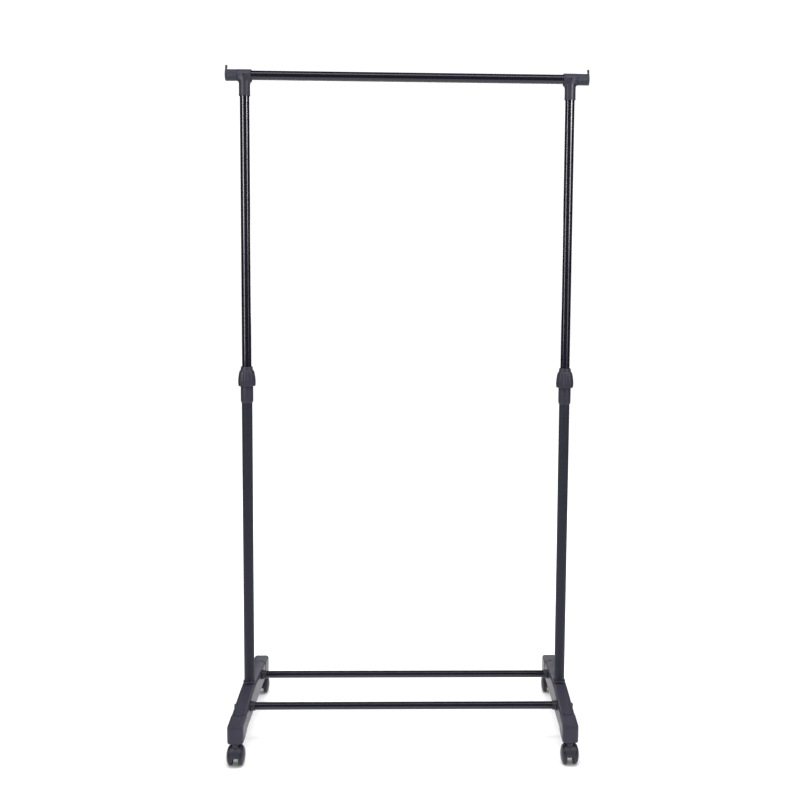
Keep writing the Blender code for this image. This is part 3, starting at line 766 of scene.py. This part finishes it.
def finishes():
    """One material for each of the record's slots."""
    return {
        "gloss_tube": finish(
            "gloss_tube_paint", (0.0070, 0.0065, 0.0135), (0.03, 0.03, 0.04),
            roughness=0.19, spread=0.03, grain=300, depth=3.0e-7, patch=30, mottle=0.08),
        "satin_tube": finish(
            "satin_tube_paint", (0.0155, 0.0160, 0.0275), (0.04, 0.04, 0.05),
            roughness=0.50, spread=0.06, grain=900, depth=2.0e-5, patch=30, specular=0.2),
        "moulded_plastic": finish(
            "moulded_plastic_skin", (0.032, 0.031, 0.0455), (0.08, 0.08, 0.095),
            roughness=0.38, spread=0.05, grain=1900, depth=1.5e-5, patch=55, mottle=0.12, specular=0.16),
        "trim_plastic": finish(
            "trim_plastic_skin", (0.020, 0.019, 0.029), (0.06, 0.06, 0.07),
            roughness=0.42, spread=0.06, grain=1700, depth=2.0e-5, patch=70, specular=0.3),
        "caster_plastic": finish(
            "caster_plastic_skin", (0.027, 0.026, 0.039), (0.07, 0.07, 0.085),
            roughness=0.42, spread=0.07, grain=1700, depth=2.5e-5, patch=70, mottle=0.12, specular=0.25),
        "wheel_plastic": finish(
            "wheel_plastic_skin", (0.019, 0.018, 0.028), (0.06, 0.06, 0.07),
            roughness=0.34, spread=0.08, grain=1500, depth=2.0e-5, patch=80, mottle=0.12, specular=0.25),
        "screw_steel": finish(
            "screw_steel_skin", (0.045, 0.045, 0.050), (0.30, 0.30, 0.31),
            roughness=0.34, spread=0.08, grain=1500, depth=2.0e-5, patch=120, metallic=1.0),
    }


# ---------------------------------------------------------------- the object

def dress(frame):
    """Puts a fine piece in the place of every CAD node."""
    record = frame["record"]
    body_of = {node: body for body, nodes in record["behaviour"]["bodies"].items() for node in nodes}
    slot_of = {row["node"]: row["material_slot"] for row in record["subparts"]}
    looks = finishes()
    moulds = {}

    def put(node, mould, at=(0, 0, 0), half_turn=False):
        """Sets one copy of a mould in a node's place. A mould is made at its first use."""
        if mould.__name__ not in moulds:
            moulds[mould.__name__] = mould("mould_" + mould.__name__)
            moulds[mould.__name__].materials.append(looks[slot_of[node]])
        obj = bpy.data.objects.new(node + "_fine", moulds[mould.__name__])
        bpy.context.scene.collection.objects.link(obj)
        obj.matrix_world = Matrix.Translation(at) @ Matrix.Rotation(math.pi if half_turn else 0.0, 4, "Z")
        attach(obj, body_of[node])
        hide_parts(node)

    for side, sign in (("left", -1), ("right", 1)):
        x, left = sign * UPRIGHT_X, sign < 0
        for part, mould in (
            ("foot_beam", foot_beam), ("upright_bolt", upright_bolt), ("upright_collar", collar),
            ("lower_upright", lower_upright), ("clamp_sleeve", sleeve), ("clamp_collet", collet),
            ("upper_upright", upper_upright), ("guide_bush", bush), ("twist_nut", nut),
        ):
            put(f"{side}_{part}", mould, (x, 0, 0), left)
        put(f"{side}_tee", tee, (x, 0, RAIL_Z), left)
        put(f"{side}_end_cap", end_cap, (x, 0, RAIL_Z), left)
        for end, way in (("front", -1), ("rear", 1)):
            rear = way > 0
            put(f"{side}_{end}_foot_cap", foot_cap, (x, 0, 0), rear)
            rail = (way * BASE_RAIL_Y, BASE_RAIL_Z)
            put(f"{side}_{end}_rail_ferrule", ferrule, (x - sign * FOOT_SIDE, *rail), not left)
            put(f"{side}_{end}_rail_screw", rail_screw, (x + sign * FOOT_SIDE, *rail), left)
            name = f"{end}_{side}_caster"
            swivel, hub = (x, way * SWIVEL_Y, 0), (x, way * (SWIVEL_Y - TRAIL), WHEEL_R)
            put(name + "_stem", stem, swivel, rear)
            put(name + "_body", caster_body, swivel, rear)
            put(name + "_axle", axle, hub)
            put(f"{end}_{side}_outer_wheel", wheel, hub, left)
            put(f"{end}_{side}_inner_wheel", wheel, hub, not left)
    put("top_rail", top_rail, (0, 0, RAIL_Z))
    for end, way in (("front", -1), ("rear", 1)):
        put(end + "_base_rail", base_rail, (0, way * BASE_RAIL_Y, BASE_RAIL_Z))


# ---------------------------------------------------------------- the studio

def softbox(name, at, target, width, height, power, only_sheen=False):
    """A panel light out of the camera's sight. One that is only sheen lights nothing but reflections."""
    light = bpy.data.lights.new(name, "AREA")
    light.shape = "RECTANGLE"
    light.size, light.size_y, light.energy = width, height, power
    obj = bpy.data.objects.new(name, light)
    bpy.context.scene.collection.objects.link(obj)
    obj.location = at
    obj.rotation_euler = (Vector(target) - Vector(at)).to_track_quat("-Z", "Y").to_euler()
    obj.visible_camera = False
    obj.visible_diffuse = not only_sheen
    return obj


def ground(name, radius, inner, glossy):
    """A flat pale ring on the floor, or a disc where its inner radius is 0."""
    bm = bmesh.new()
    count = 96
    angles = [2 * math.pi * i / count for i in range(count)]
    rings = [
        [bm.verts.new((r * math.cos(angle), r * math.sin(angle), 0)) for angle in angles]
        for r in ((inner, radius) if inner else (radius,))
    ]
    if inner:
        for i in range(count):
            j = (i + 1) % count
            bm.faces.new((rings[0][i], rings[1][i], rings[1][j], rings[0][j]))
    else:
        bm.faces.new(rings[0])
    mesh = bpy.data.meshes.new(name)
    bm.to_mesh(mesh)
    bm.free()
    obj = bpy.data.objects.new(name, mesh)
    bpy.context.scene.collection.objects.link(obj)
    obj.visible_glossy = glossy
    return obj


def studio():
    scene = bpy.context.scene
    scene.view_settings.view_transform = "Standard"
    world = bpy.data.worlds.new("studio_white")
    scene.world = world
    world.use_nodes = True
    background = world.node_tree.nodes["Background"]
    background.inputs["Color"].default_value = (1.0, 1.0, 1.0, 1.0)
    background.inputs["Strength"].default_value = 1.10
    world.cycles_visibility.glossy = False

    pale = bpy.data.materials.new("studio_floor")
    pale.use_nodes = True
    shader = pale.node_tree.nodes["Principled BSDF"]
    shader.inputs["Base Color"].default_value = (0.93, 0.93, 0.935, 1)
    shader.inputs["Roughness"].default_value = 0.9
    shader.inputs["Specular IOR Level"].default_value = 0.0
    # Only the floor near the object shows in reflections.
    near_radius, far_radius = 2.2, 60
    near = ground("floor_near", near_radius, 0, glossy=True)
    far = ground("floor_far", far_radius, near_radius, glossy=False)
    for obj in (near, far):
        obj.data.materials.append(pale)

    # A column of panels stands close on each side and shows only as a streak in the paint.
    heights = (1.00, 1.36, 1.72)
    for side, x, powers in (("left", -0.95, (3.2, 5.6, 5.8)), ("right", 0.95, (1.3, 5.0, 11.0))):
        for level, (z, power) in enumerate(zip(heights, powers)):
            at, target = (x, -0.72, z), (0.36 * x, 0.0, z)
            softbox(f"{side}_strip_{level}", at, target, 0.28, 0.36, power, only_sheen=True)
    softbox("overhead", (0.0, -0.9, 2.9), (0.0, 0.0, 0.9), 2.4, 0.5, 17)
    top = softbox("top_fill", (0.0, -0.3, 4.0), (0.0, 0.0, 0.0), 3.0, 3.0, 76)
    top.visible_glossy = False
    # A low panel behind, which the level tops of the feet reflect.
    softbox("back_sheen", (0.0, 2.6, 1.05), (0.0, 0.0, 0.1), 1.6, 0.5, 10, only_sheen=True)
    fill = softbox("back_fill", (0.0, 2.6, 1.6), (0.0, 0.0, 0.9), 1.0, 1.2, 14)
    fill.visible_glossy = False


def camera():
    """In front of the rail, well above its middle, looking slightly down."""
    scene = bpy.context.scene
    view = bpy.data.cameras.new("front_view")
    obj = bpy.data.objects.new("front_view", view)
    scene.collection.objects.link(obj)
    scene.camera = obj
    view.lens, view.sensor_width = 49.315, 36.0
    view.shift_x, view.shift_y = -0.0640, -0.070
    view.clip_end = 200
    pitch, yaw, roll = (math.radians(a) for a in (5.325, -1.677, 0.517))
    turn = Matrix.Rotation(yaw, 4, "Z") @ Matrix.Rotation(math.pi / 2 - pitch, 4, "X")
    turn = turn @ Matrix.Rotation(roll, 4, "Z")
    obj.matrix_world = Matrix.Translation((0.0302, -2.6231, 1.1943)) @ turn


def main():
    for obj in list(bpy.data.objects):
        bpy.data.objects.remove(obj)
    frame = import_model()
    dress(frame)
    studio()
    camera()


main()
